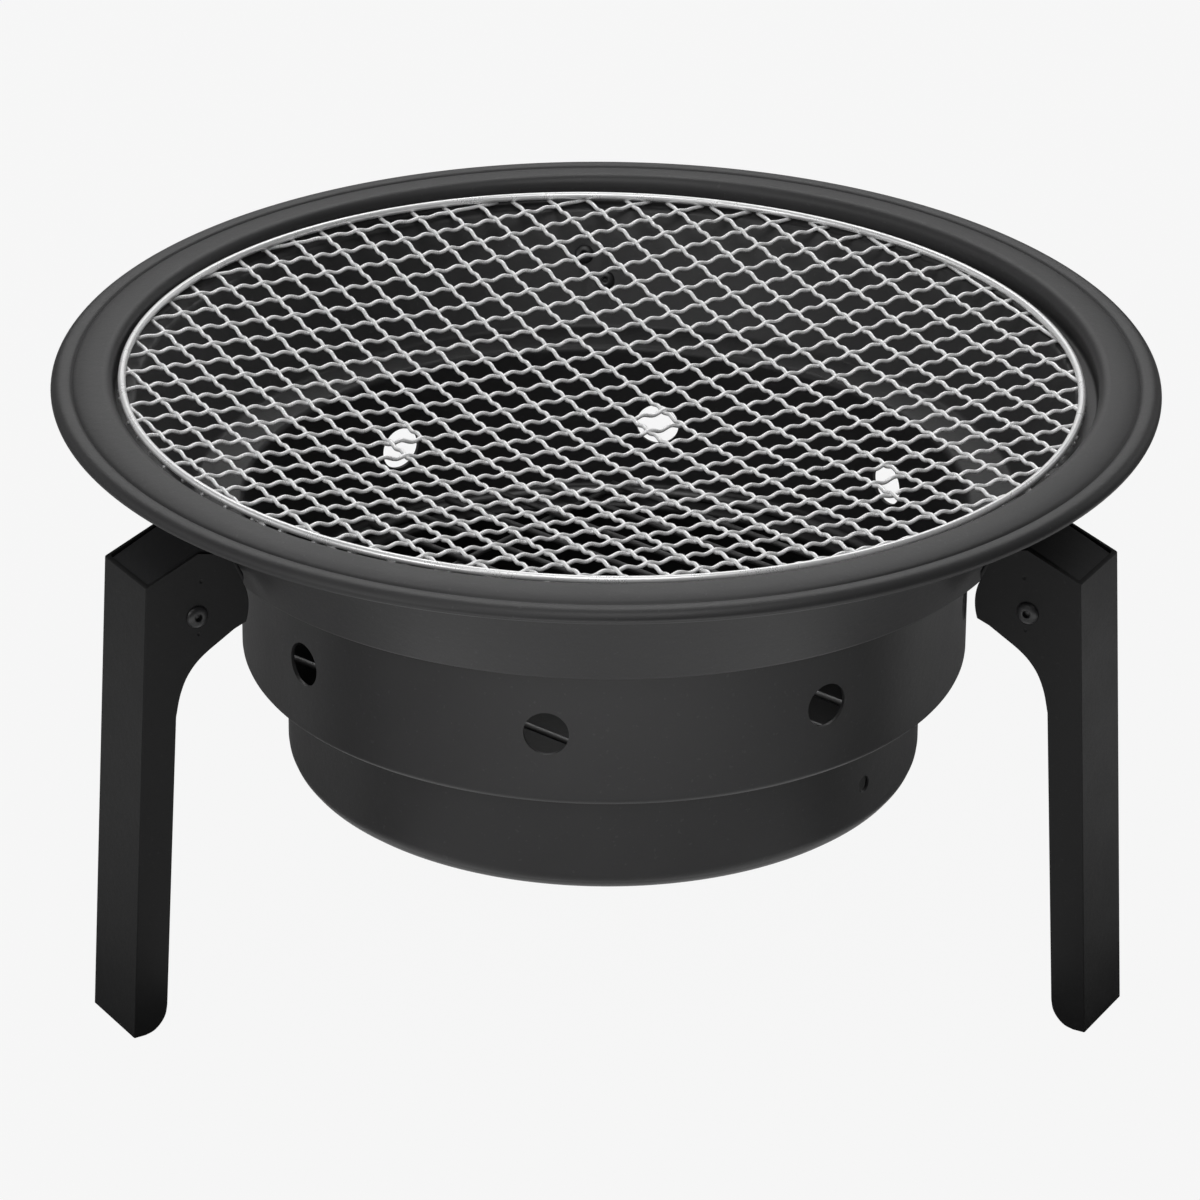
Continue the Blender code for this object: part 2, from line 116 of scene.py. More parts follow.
def fillet(points, radii, step=12.0):
    """Round the corners of an open (r, z) polyline, one point every few degrees."""
    out = [Vector(points[0])]
    for i in range(1, len(points) - 1):
        a, b, c = (Vector(points[j]) for j in (i - 1, i, i + 1))
        rad = radii[i]
        u, v = (a - b).normalized(), (c - b).normalized()
        half = math.acos(max(-1.0, min(1.0, u.dot(v)))) / 2
        if rad <= 0 or half > math.radians(89):
            out.append(b)
            continue
        reach = rad / math.tan(half)
        centre = b + (u + v).normalized() * (rad / math.sin(half))
        p, q = b + u * reach - centre, b + v * reach - centre
        sweep = p.angle_signed(q)
        n = max(2, int(abs(math.degrees(sweep)) / step))
        for k in range(n + 1):
            t = -sweep * k / n
            out.append(centre + Vector((p.x * math.cos(t) - p.y * math.sin(t),
                                        p.x * math.sin(t) + p.y * math.cos(t))))
    out.append(Vector(points[-1]))
    return out


def offset(points, distance):
    out = []
    for i, p in enumerate(points):
        d0 = (p - points[i - 1]).normalized() if i else None
        d1 = (points[i + 1] - p).normalized() if i + 1 < len(points) else None
        d0, d1 = d0 or d1, d1 or d0
        n0, n1 = Vector((d0.y, -d0.x)), Vector((d1.y, -d1.x))
        m = (n0 + n1).normalized()
        out.append(p + m * (distance / max(0.35, m.dot(n0))))
    return out


def thin(points, least):
    """Drop points closer than 'least' to the one before."""
    out = [points[0]]
    for p in points[1:]:
        if (p - out[-1]).length >= least:
            out.append(p)
    return out


def lathe(profile, count, closed=True):
    """Quads of a closed (r, z) outline turned round Z; points on the axis weld."""
    prof = np.array([(max(0.0, p[0]), p[1]) for p in profile])
    ang = np.arange(count) * 2 * math.pi / count
    n = len(prof)
    verts = np.empty((count, n, 3))
    verts[..., 0] = np.cos(ang)[:, None] * prof[None, :, 0]
    verts[..., 1] = np.sin(ang)[:, None] * prof[None, :, 0]
    verts[..., 2] = prof[None, :, 1]
    bm = bmesh.new()
    vs = [bm.verts.new(v) for v in verts.reshape(-1, 3)]
    for i in range(count):
        j = (i + 1) % count
        for k in range(n if closed else n - 1):
            m = (k + 1) % n
            a0, a1 = prof[k, 0] < 1e-9, prof[m, 0] < 1e-9
            if a0 and a1:
                continue
            if a0:
                bm.faces.new((vs[k], vs[j * n + m], vs[i * n + m]))
            elif a1:
                bm.faces.new((vs[i * n + k], vs[j * n + k], vs[m]))
            else:
                bm.faces.new((vs[i * n + k], vs[j * n + k], vs[j * n + m], vs[i * n + m]))
    loose = [v for v in bm.verts if not v.link_faces]
    bmesh.ops.delete(bm, geom=loose, context="VERTS")
    return bm


def tubes(lines, radius, sides):
    """One mesh of round wires along the given point lists, with closed ends."""
    verts, faces, base = [], [], 0
    ring = np.arange(sides) * 2 * math.pi / sides
    for pts in lines:
        pts = np.asarray(pts)
        tan = np.gradient(pts, axis=0)
        tan /= np.linalg.norm(tan, axis=1)[:, None]
        side = np.cross(tan, (0.0, 0.0, 1.0))
        side /= np.linalg.norm(side, axis=1)[:, None]
        up = np.cross(side, tan)
        loop = (pts[:, None] + radius * (np.cos(ring)[None, :, None] * side[:, None]
                                         + np.sin(ring)[None, :, None] * up[:, None]))
        n = len(pts)
        ends = np.array([pts[0] - tan[0] * radius * 0.35, pts[-1] + tan[-1] * radius * 0.35])
        verts.append(loop.reshape(-1, 3))
        verts.append(ends)
        i, k = np.meshgrid(np.arange(n - 1), np.arange(sides), indexing="ij")
        m = (k + 1) % sides
        quads = np.stack([i * sides + k, (i + 1) * sides + k,
                          (i + 1) * sides + m, i * sides + m], -1).reshape(-1, 4) + base
        faces.extend(quads.tolist())
        tip0, tip1 = base + n * sides, base + n * sides + 1
        for q in range(sides):
            w = (q + 1) % sides
            faces.append((tip0, base + q, base + w))
            faces.append((tip1, base + (n - 1) * sides + w, base + (n - 1) * sides + q))
        base += n * sides + 2
    return np.concatenate(verts), faces


def torus(name, radius, wire, count, sides, centre):
    a = np.arange(count) * 2 * math.pi / count
    b = np.arange(sides) * 2 * math.pi / sides
    r = radius + wire * np.cos(b)[None]
    v = np.stack([np.cos(a)[:, None] * r + centre[0], np.sin(a)[:, None] * r + centre[1],
                  np.broadcast_to(wire * np.sin(b)[None], (count, sides)) + centre[2]], -1)
    i, k = np.meshgrid(np.arange(count), np.arange(sides), indexing="ij")
    j, m = (i + 1) % count, (k + 1) % sides
    f = np.stack([i * sides + k, j * sides + k, j * sides + m, i * sides + m], -1)
    return from_arrays(name, v.reshape(-1, 3), f.reshape(-1, 4))


def prism(outline, y0, y1):
    bm = bmesh.new()
    face = bm.faces.new([bm.verts.new((x, y0, z)) for x, z in outline])
    top = bmesh.ops.extrude_face_region(bm, geom=[face])
    moved = [g for g in top["geom"] if isinstance(g, bmesh.types.BMVert)]
    bmesh.ops.translate(bm, verts=moved, vec=(0, y1 - y0, 0))
    bmesh.ops.recalc_face_normals(bm, faces=bm.faces)
    return bm


def rod(length, radius, sides, matrix):
    bm = bmesh.new()
    bmesh.ops.create_cone(bm, cap_ends=True, cap_tris=False, segments=sides,
                          radius1=radius, radius2=radius, depth=length, matrix=matrix)
    return bm


def ball(radius, matrix):
    bm = bmesh.new()
    bmesh.ops.create_uvsphere(bm, u_segments=20, v_segments=12, radius=radius, matrix=matrix)
    return bm


def join_into(target, extra):
    mesh = bpy.data.meshes.new("tmp")
    extra.to_mesh(mesh)
    extra.free()
    target.from_mesh(mesh)
    bpy.data.meshes.remove(mesh)


def evaluated(ob, sharp=32.0):
    bpy.context.view_layer.update()
    graph = bpy.context.evaluated_depsgraph_get()
    mesh = bpy.data.meshes.new_from_object(ob.evaluated_get(graph))
    mesh.shade_smooth()
    if sharp:
        mesh.set_sharp_from_angle(angle=math.radians(sharp))
    return mesh


def settle(ob, tools, sharp=32.0, edge=None, segments=2, limit=40.0):
    """Cut the tools out of ob, soften its edges, and keep the plain result."""
    for kind, bm in tools:
        tool = from_bm("tool", bm, None)
        mod = ob.modifiers.new("cut", "BOOLEAN")
        mod.operation, mod.solver, mod.object = kind, "EXACT", tool
    if edge:
        mod = ob.modifiers.new("edge", "BEVEL")
        mod.limit_method, mod.angle_limit = "ANGLE", math.radians(limit)
        mod.width, mod.segments = edge, segments
        mod.use_clamp_overlap = True
        mod.harden_normals = False
    mesh = evaluated(ob, sharp)
    used = [m.object for m in ob.modifiers if m.type == "BOOLEAN"]
    ob.modifiers.clear()
    old = ob.data
    ob.data = mesh
    bpy.data.meshes.remove(old)
    for tool in used:
        bpy.data.objects.remove(tool, do_unlink=True)
    return ob


def flat_normals(ob):
    """Let the large flat faces set the shading of the bends beside them."""
    mod = ob.modifiers.new("normals", "WEIGHTED_NORMAL")
    mod.mode, mod.weight, mod.keep_sharp = "FACE_AREA", 100, True
    mesh = evaluated(ob, None)
    ob.modifiers.clear()
    old = ob.data
    ob.data = mesh
    bpy.data.meshes.remove(old)


def wall_normals(mesh):
    """True normals on the bowl's turned walls, around the holes cut in them."""
    n = cone_normal()
    out = []
    for poly in mesh.polygons:
        for i in poly.vertices:
            co = mesh.vertices[i].co
            r, z = math.hypot(co.x, co.y), co.z - RIM_Z
            found = (0.0, 0.0, 0.0)
            flat = None
            if STEP2_Z + 0.0021 < z < STEP1_Z - 0.0033:
                if abs(r - DRUM_R) < 3e-5:
                    flat = (-1.0, 0.0)
                elif abs(r - DRUM_R - SHEET) < 3e-5:
                    flat = (1.0, 0.0)
            elif FLOOR_Z + 0.0055 < z < STEP2_Z - 0.0033:
                if abs(r - ASH_R) < 3e-5:
                    flat = (-1.0, 0.0)
                elif abs(r - ASH_R - SHEET) < 3e-5:
                    flat = (1.0, 0.0)
            elif STEP1_Z + 0.003 < z < SEAT_Z - 0.003:
                wall = cone_outer(z)
                if abs(r - wall) < 3e-5:
                    flat = (n.x, n.y)
                elif abs(r - wall + SHEET / n.x) < 3e-5:
                    flat = (-n.x, -n.y)
            if flat and r > 0:
                v = Vector((co.x / r * flat[0], co.y / r * flat[0], flat[1]))
                if v.dot(poly.normal) > 0.8:
                    found = tuple(v)
            out.append(found)
    mesh.normals_split_custom_set(out)


# ----------------------------------------------------------------- materials
class Graph:
    """A few shorthands for building a material's nodes."""

    def __init__(self, name):
        self.mat = bpy.data.materials.new(name)
        self.mat.use_nodes = True
        self.tree = self.mat.node_tree
        self.bsdf = self.tree.nodes["Principled BSDF"]
        self.coord = self.tree.nodes.new("ShaderNodeTexCoord")

    def node(self, kind, **values):
        n = self.tree.nodes.new(kind)
        for key, value in values.items():
            if hasattr(n, key):
                setattr(n, key, value)
            else:
                n.inputs[key.replace("_", " ")].default_value = value
        return n

    def link(self, a, b):
        self.tree.links.new(a, b)

    def noise(self, scale, detail=2.0, rough=0.5, stretch=None):
        n = self.node("ShaderNodeTexNoise")
        n.inputs["Scale"].default_value = scale
        n.inputs["Detail"].default_value = detail
        n.inputs["Roughness"].default_value = rough
        src = self.coord.outputs["Object"]
        if stretch:
            m = self.node("ShaderNodeMapping")
            m.inputs["Scale"].default_value = stretch
            self.link(src, m.inputs["Vector"])
            src = m.outputs["Vector"]
        self.link(src, n.inputs["Vector"])
        return n.outputs["Fac"]

    def ramp(self, source, stops):
        n = self.node("ShaderNodeValToRGB")
        n.color_ramp.elements[0].position = stops[0][0]
        n.color_ramp.elements[1].position = stops[-1][0]
        for pos, _ in stops[1:-1]:
            n.color_ramp.elements.new(pos)
        for el, (_, value) in zip(n.color_ramp.elements, stops):
            c = value if isinstance(value, tuple) else (value, value, value)
            el.color = (*c, 1.0)
        self.link(source, n.inputs["Fac"])
        return n.outputs["Color"]

    def span(self, source, lo, hi, to_lo, to_hi):
        n = self.node("ShaderNodeMapRange")
        for key, value in (("From Min", lo), ("From Max", hi), ("To Min", to_lo), ("To Max", to_hi)):
            n.inputs[key].default_value = value
        self.link(source, n.inputs["Value"])
        return n.outputs["Result"]

    def math(self, op, a, b):
        n = self.node("ShaderNodeMath")
        n.operation = op
        for i, v in enumerate((a, b)):
            if isinstance(v, (int, float)):
                n.inputs[i].default_value = v
            else:
                self.link(v, n.inputs[i])
        return n.outputs["Value"]

    def mix(self, fac, a, b):
        n = self.node("ShaderNodeMix", data_type="RGBA")
        if isinstance(fac, (int, float)):
            n.inputs[0].default_value = fac
        else:
            self.link(fac, n.inputs[0])
        for i, v in ((6, a), (7, b)):
            if isinstance(v, tuple):
                n.inputs[i].default_value = (*v, 1.0)
            else:
                self.link(v, n.inputs[i])
        return n.outputs[2]

    def bump(self, height, distance, strength=1.0, under=None):
        n = self.node("ShaderNodeBump")
        n.inputs["Strength"].default_value = strength
        n.inputs["Distance"].default_value = distance
        self.link(height, n.inputs["Height"])
        if under is not None:
            self.link(under, n.inputs["Normal"])
        return n.outputs["Normal"]


def paint(name, base, light, rough, coarse, grain, specular=0.5, coat=0.0, painted_pan_shade=False):
    """Heat-proof black coating: a faint orange peel with a fine dry grain, and optionally painted
    shade inside the ash drum.
    """
    g = Graph(name)
    cloud = g.noise(38.0, 3.0, 0.55)
    fine = g.noise(1900.0, 2.0, 0.6)
    speck = g.noise(700.0, 1.0, 0.4)
    colour = g.mix(g.span(cloud, 0.3, 0.7, 0.0, 1.0), base, light)
    dots = g.span(speck, 0.70, 0.76, 0.0, 0.35)
    colour = g.mix(dots, colour, tuple(2.2 * c for c in light))
    if painted_pan_shade:
        # painted shade: the inside of the ash drum, below its step, is darkened to stand in for the
        # shade that falls in it
        xyz = g.node("ShaderNodeSeparateXYZ")
        g.link(g.coord.outputs["Object"], xyz.inputs[0])
        x, y, z = xyz.outputs
        round_ = g.math("ADD", g.math("MULTIPLY", x, x), g.math("MULTIPLY", y, y))
        inside = g.math("LESS_THAN", round_, (ASH_R + 0.4 * SHEET) ** 2)
        above = g.math("GREATER_THAN", z, RIM_Z + FLOOR_Z - 0.4 * SHEET)
        below = g.math("LESS_THAN", z, RIM_Z + STEP2_Z - 0.0010)
        colour = g.mix(g.math("MULTIPLY", inside, g.math("MULTIPLY", above, below)), colour,
                       tuple(0.12 * c for c in base))
    g.link(colour, g.bsdf.inputs["Base Color"])
    r = g.math("ADD", g.span(cloud, 0.25, 0.75, rough - 0.025, rough + 0.03),
               g.span(fine, 0.3, 0.7, -0.03, 0.03))
    g.link(r, g.bsdf.inputs["Roughness"])
    peel = g.bump(g.noise(420.0, 2.0, 0.5), coarse)
    g.link(g.bump(fine, grain, 1.0, peel), g.bsdf.inputs["Normal"])
    g.bsdf.inputs["Specular IOR Level"].default_value = specular
    g.bsdf.inputs["Coat Weight"].default_value = coat
    return g.mat


def wire(name, base, dark, rough, grain, metal=1.0):
    """Drawn steel wire, with faint draw marks and a little handling dullness."""
    g = Graph(name)
    cloud = g.noise(120.0, 3.0, 0.6)
    fine = g.noise(2600.0, 2.0, 0.6)
    g.link(g.mix(g.span(cloud, 0.35, 0.75, 0.0, 1.0), base, dark), g.bsdf.inputs["Base Color"])
    g.bsdf.inputs["Metallic"].default_value = metal
    g.link(g.math("ADD", g.span(cloud, 0.3, 0.7, rough - 0.04, rough + 0.05),
                  g.span(fine, 0.3, 0.7, -0.03, 0.03)), g.bsdf.inputs["Roughness"])
    g.link(g.bump(fine, grain), g.bsdf.inputs["Normal"])
    return g.mat


# the bowl's paint carries painted shade on the inside of the ash drum
M_BOWL = paint("bowl_paint", (0.022, 0.0215, 0.0222), (0.0275, 0.0272, 0.0280), 0.50, 0.00006,
               0.00001, painted_pan_shade=True)
M_LEG = paint("leg_paint", (0.0062, 0.0062, 0.0065), (0.0083, 0.0083, 0.0086), 0.52, 0.00005,
              0.000012, 0.25)
M_BRACKET = paint("bracket_paint", (0.012, 0.012, 0.013), (0.016, 0.016, 0.017), 0.52, 0.00005,
                  0.000012)
M_RIVET = paint("rivet_black", (0.014, 0.014, 0.015), (0.020, 0.020, 0.021), 0.38, 0.00003, 0.00001)
M_WIRE = wire("bright_wire", (0.98, 0.98, 0.98), (0.93, 0.93, 0.93), 0.28, 0.00001, 0.30)
M_HOOP = wire("bright_hoop", (0.94, 0.94, 0.94), (0.90, 0.90, 0.90), 0.30, 0.00001, 0.45)
M_CHAR = wire("dull_wire", (0.20, 0.20, 0.20), (0.15, 0.15, 0.15), 0.60, 0.00001)


def dress(ob, mat, body, slot, *nodes):
    ob.data.materials.clear()
    ob.data.materials.append(mat)
    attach(ob, body)
    if nodes:
        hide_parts(*nodes)
    return ob


# ----------------------------------------------------------------- fire bowl
def cone_normal():
    d = Vector((CONE_TOP_R - STEP1_R, SEAT_Z - STEP1_Z)).normalized()
    return Vector((d.y, -d.x))


def cone_outer(z):
    slope = (CONE_TOP_R - STEP1_R) / (SEAT_Z - STEP1_Z)
    return STEP1_R + (z - STEP1_Z) * slope + SHEET / cone_normal().x


def pin_matrix(azimuth, side, z):
    n = cone_normal()
    tilt = math.atan2(n.x, n.y)
    base = Vector((cone_outer(z), side, RIM_Z + z))
    return (Matrix.Rotation(math.radians(azimuth), 4, "Z") @ Matrix.Translation(base)
            @ Matrix.Rotation(tilt, 4, "Y"))


def radial_tool(radius, azimuth, z, r0, r1, sides):
    mid = polar((r0 + r1) / 2, azimuth, RIM_Z + z)
    turn = (Matrix.Translation(mid) @ Matrix.Rotation(math.radians(azimuth), 4, "Z")
            @ Matrix.Rotation(math.pi / 2, 4, "Y"))
    return rod(r1 - r0, radius, sides, turn)


def bowl_profile():
    inner = [(0.16845, 0.00130), (0.16795, 0.00180), (0.1652, 0.0027),
             (SEAT_R, 0.0040), (SEAT_R, SEAT_Z), (CONE_TOP_R, SEAT_Z),
             (STEP1_R, STEP1_Z), (DRUM_R, STEP1_Z), (DRUM_R, STEP2_Z),
             (ASH_R, STEP2_Z), (ASH_R, FLOOR_Z), (0.070, FLOOR_Z), (0.035, FLOOR_Z),
             (0.0, FLOOR_Z)]
    radii = [0, 0.0006, 0.02, 0.0034, 0.0011, 0.0019, 0.0019, 0.0022, 0.0014, 0.0022,
             0.0056, 0, 0, 0]
    top = thin(fillet(inner, radii, 13.0), 0.00015)
    under = offset(top, -SHEET)
    under[-1].x = 0.0
    # the edge is rolled over into a flattened bead, with a groove inside it
    bead = [Vector(p) for p in smooth_run([
        (0.16870, 0.00150), (0.16930, 0.00190), (0.17020, 0.00212), (0.17140, 0.00219),
        (0.17280, 0.00200), (0.17400, 0.00142), (0.17485, 0.00050), (0.17520, -0.00045),
        (0.17495, -0.00135), (0.17415, -0.00198), (0.17310, -0.00220), (0.17205, -0.00200),
        (0.17130, -0.00145), (0.17095, -0.00085)], 3)]
    outline = list(reversed(top)) + bead + under
    return [(p.x, p.y + RIM_Z) for p in outline]


def build_bowl():
    bowl = from_bm("bowl_shell", lathe(bowl_profile(), 240), None)
    tools = bmesh.new()
    for k in range(8):
        join_into(tools, radial_tool(VENT_R, VENT_PHASE + 45.0 * k, VENT_Z,
                                     DRUM_R - 0.006, DRUM_R + 0.006, 56))
    join_into(tools, radial_tool(DRAIN_R, DRAIN_ANGLE, DRAIN_Z, ASH_R - 0.005,
                                 ASH_R + 0.005, 32))
    for az in LEGS.values():
        for side, z in PINS:
            join_into(tools, rod(0.010, PIN_SHANK + 0.0001, 24, pin_matrix(az, side, z)))
    settle(bowl, [("DIFFERENCE", tools)], sharp=38.0, edge=0.00028, segments=2, limit=50.0)
    wall_normals(bowl.data)
    dress(bowl, M_BOWL, "fire_bowl", "bowl_paint", "fire_bowl")


# -------------------------------------------------------------- cooking grate
def sag(r):
    return -0.00191 - WEAVE_SAG * np.maximum(0.0, 1 - (r / 0.150) ** 2) ** 1.5


def build_grate():
    cx, cy = GRATE_SHIFT
    lean = (Matrix.Translation((cx, cy, RIM_Z)) @ Matrix.Rotation(GRATE_TILT[0], 4, "X")
            @ Matrix.Rotation(GRATE_TILT[1], 4, "Y"))
    hoop = torus("grate_hoop_wire", HOOP_R, HOOP_WIRE, 288, 18, (0, 0, 0))
    hoop.data.transform(lean)
    dress(hoop, M_HOOP, "cooking_grate", "bright_wire", "grate_hoop")

    edge = HOOP_R + 0.0011
    cell = np.array((WEAVE_U, WEAVE_V)).T
    back = np.linalg.inv(cell)
    for family, name in enumerate(("grate_weave_warp", "grate_weave_weft")):
        step = cell[:, 1 - family]               # the way these wires run
        lines = []
        for n in range(-16, 17):
            # where this wire crosses the hoop, counted in cells along it
            base = cell[:, family] * (n - WEAVE_PHASE[family])
            a, b = step @ step, base @ step
            left = b * b - a * (base @ base - edge ** 2)
            if left <= a * a * 0.25:
                continue
            lo, hi = (-b - math.sqrt(left)) / a, (-b + math.sqrt(left)) / a
            lo += 0.05 * (0.5 + 0.5 * math.sin(2.4 * n + family))
            hi -= 0.05 * (0.5 + 0.5 * math.sin(3.1 * n + family * 1.7))
            t = np.linspace(lo, hi, max(8, int((hi - lo) * 13)))
            xy = base + t[:, None] * step
            q = t + WEAVE_PHASE[1 - family]      # crossings lie at whole numbers
            r = np.hypot(xy[:, 0], xy[:, 1])
            fade = np.clip((0.1502 - r) / 0.006, 0.15, 1.0)
            z = sag(r) + WEAVE_WAVES[family] * fade * np.cos(3 * math.pi * (q + n))
            lines.append(np.column_stack([xy[:, 0], xy[:, 1], z]))
        verts, faces = tubes(lines, WEAVE_WIRE, 8)
        weave = from_arrays(name, verts, faces)
        weave.data.transform(lean)
        dress(weave, M_WIRE, "cooking_grate", "bright_wire", "grate_mesh")


# ------------------------------------------------------------- charcoal grate
def build_charcoal_grate():
    z_ring = RIM_Z + STEP2_Z + GAP + CHAR_RING_WIRE
    z_bar = z_ring + CHAR_RING_WIRE + GAP + CHAR_BAR_WIRE - 0.0004
    ring = torus("charcoal_hoop_wire", CHAR_RING_R, CHAR_RING_WIRE, 160, 14, (0, 0, z_ring))
    dress(ring, M_CHAR, "charcoal_grate", "dull_wire", "charcoal_ring")
    turn = Matrix.Rotation(math.radians(CHAR_ANGLE), 3, "Z")

    def straight(name, p, q, node):
        t = np.array((0.0, 0.02, 0.06, 0.3, 0.5, 0.7, 0.94, 0.98, 1.0))
        p, q = np.array(turn @ Vector(p)), np.array(turn @ Vector(q))
        verts, faces = tubes([p + (q - p) * t[:, None]], CHAR_BAR_WIRE, 12)
        dress(from_arrays(name, verts, faces), M_CHAR, "charcoal_grate", "dull_wire", node)

    for k in range(CHAR_BAR_COUNT):
        off = ((k - (CHAR_BAR_COUNT - 1) / 2) * CHAR_BAR_PITCH + CHAR_BAR_SHIFT
               + CHAR_DRIFT.get(k, 0.0))
        half = math.sqrt(CHAR_RING_R ** 2 - off ** 2) + 0.0006
        straight("charcoal_rod_%02d" % (k + 1), (-half, off, z_bar), (half, off, z_bar),
                 "charcoal_bar_%02d" % (k + 1))
    for k, off in enumerate((-CHAR_TIE, CHAR_TIE)):
        reach = math.sqrt((CHAR_RING_R - CHAR_RING_WIRE - GAP) ** 2
                          - (abs(off) + CHAR_BAR_WIRE) ** 2)
        z = z_bar - 2 * CHAR_BAR_WIRE - 0.00005
        straight("charcoal_brace_%d" % (k + 1), (off, -reach, z), (off, reach, z),
                 "charcoal_tie_%d" % (k + 1))


# ------------------------------------------------------------ legs, brackets
def web_outer(z):
    t = (LEG_TOP_Z - z) / (LEG_TOP_Z + RIM_Z)
    return LEG_TOP_R + (LEG_FOOT_R - LEG_TOP_R) * t


def arc(radius, start, end, count):
    out = []
    for k in range(count + 1):
        a = math.radians(start + (end - start) * k / count)
        out.append((PIVOT_R + radius * math.cos(a), PIVOT_Z + radius * math.sin(a)))
    return out


def smooth_run(points, count):
    """A soft curve through the given points (Catmull-Rom)."""
    pts = [Vector(p) for p in points]
    pts = [pts[0] * 2 - pts[1]] + pts + [pts[-1] * 2 - pts[-2]]
    out = []
    for i in range(1, len(pts) - 2):
        a, b, c, d = pts[i - 1:i + 3]
        for k in range(count):
            t = k / count
            out.append(tuple(0.5 * ((2 * b) + (c - a) * t + (2 * a - 5 * b + 4 * c - d) * t * t
                                    + (3 * b - a - 3 * c + d) * t ** 3)))
    out.append(tuple(pts[-2]))
    return out


def leg_outline():
    low = -RIM_Z
    out = [(LEG_TOP_R, LEG_TOP_Z), (0.1720, -0.0266), (0.1541, -0.01945)]
    out += arc(0.0206, 103, 126, 7)
    out += arc(0.0180, 161, 199, 14)
    out += smooth_run([(0.1404, -0.0469), (0.1470, -0.0506), (0.1522, -0.0536),
                       (0.1560, -0.0566), (0.1592, -0.0607), (0.1615, -0.0662),
                       (0.1630, -0.0730)], 4)[1:]
    out += [(0.1656, -0.1215), (0.1683, low + 0.0090)]
    out += smooth_run([(0.1684, low + 0.0082), (0.1690, low + 0.0055), (0.1706, low + 0.0029),
                       (0.1732, low + 0.0008), (0.1762, low)], 4)
    out += [(LEG_FOOT_R, low)]
    return out


def local(points):
    return [(r - PIVOT_R, z - PIVOT_Z) for r, z in points]


def bend_weights(ob, test, width, segments):
    """Round the edges that pass the test, as bent sheet is."""
    attr = ob.data.attributes.new("bevel_weight_edge", "FLOAT", "EDGE")
    for e in ob.data.edges:
        a, b = (ob.data.vertices[i].co for i in e.vertices)
        if test(a, b):
            attr.data[e.index].value = 1.0
    mod = ob.modifiers.new("bend", "BEVEL")
    mod.limit_method, mod.width, mod.segments = "WEIGHT", width, segments
    mesh = evaluated(ob, None)
    ob.modifiers.clear()
    ob.data = mesh
    return ob


def to_bm(ob):
    bm = bmesh.new()
    bm.from_mesh(ob.data)
    bpy.data.objects.remove(ob, do_unlink=True)
    return bm


SIDE = Matrix.Rotation(math.pi / 2, 4, "X")


def leg_mesh():
    half = LEG_WIDTH / 2
    x_top, x_low = web_outer(LEG_TOP_Z) - PIVOT_R, LEG_FOOT_R - PIVOT_R
    z_top, z_low = LEG_TOP_Z - PIVOT_Z, -RIM_Z - PIVOT_Z

    def outer_bend(a, b):
        lo, hi = sorted((a, b), key=lambda c: c.z)
        return (abs(a.y - b.y) < 1e-6 and abs(hi.x - x_top) < 1e-5 and abs(hi.z - z_top) < 1e-5
                and abs(lo.x - x_low) < 1e-5 and abs(lo.z - z_low) < 1e-5)

    leg = from_bm("leg", prism(local(leg_outline()), -half, half), None)
    bend_weights(leg, outer_bend, 0.0021, 7)

    up, down = 0.02, -RIM_Z - 0.01
    xa, xb = web_outer(up) - SHEET, web_outer(down) - SHEET
    inner = half - SHEET
    box = from_bm("hollow", prism(local([(xa, up), (0.120, up), (0.120, down), (xb, down)]),
                                  -inner, inner), None)

    def inner_bend(a, b):
        lo, hi = sorted((a, b), key=lambda c: c.z)
        return (abs(a.y - b.y) < 1e-6 and abs(hi.x - (xa - PIVOT_R)) < 1e-5
                and abs(lo.x - (xb - PIVOT_R)) < 1e-5)

    bend_weights(box, inner_bend, 0.0010, 4)
    marks = rod(0.05, RUNNING_R, 40, SIDE)
    for s in (-1, 1):
        for r, z, size in ((0.1533, -0.0289, 0.0013), (0.1545, -0.0466, 0.0011)):
            join_into(marks, ball(size, Matrix.Translation(
                (r - PIVOT_R, s * (half + size * 0.80), z - PIVOT_Z))))
    settle(leg, [("DIFFERENCE", to_bm(box)), ("DIFFERENCE", marks)], sharp=30.0,
           edge=0.00022, segments=2, limit=38.0)
    flat_normals(leg)
    mesh = leg.data
    bpy.data.objects.remove(leg, do_unlink=True)
    return mesh


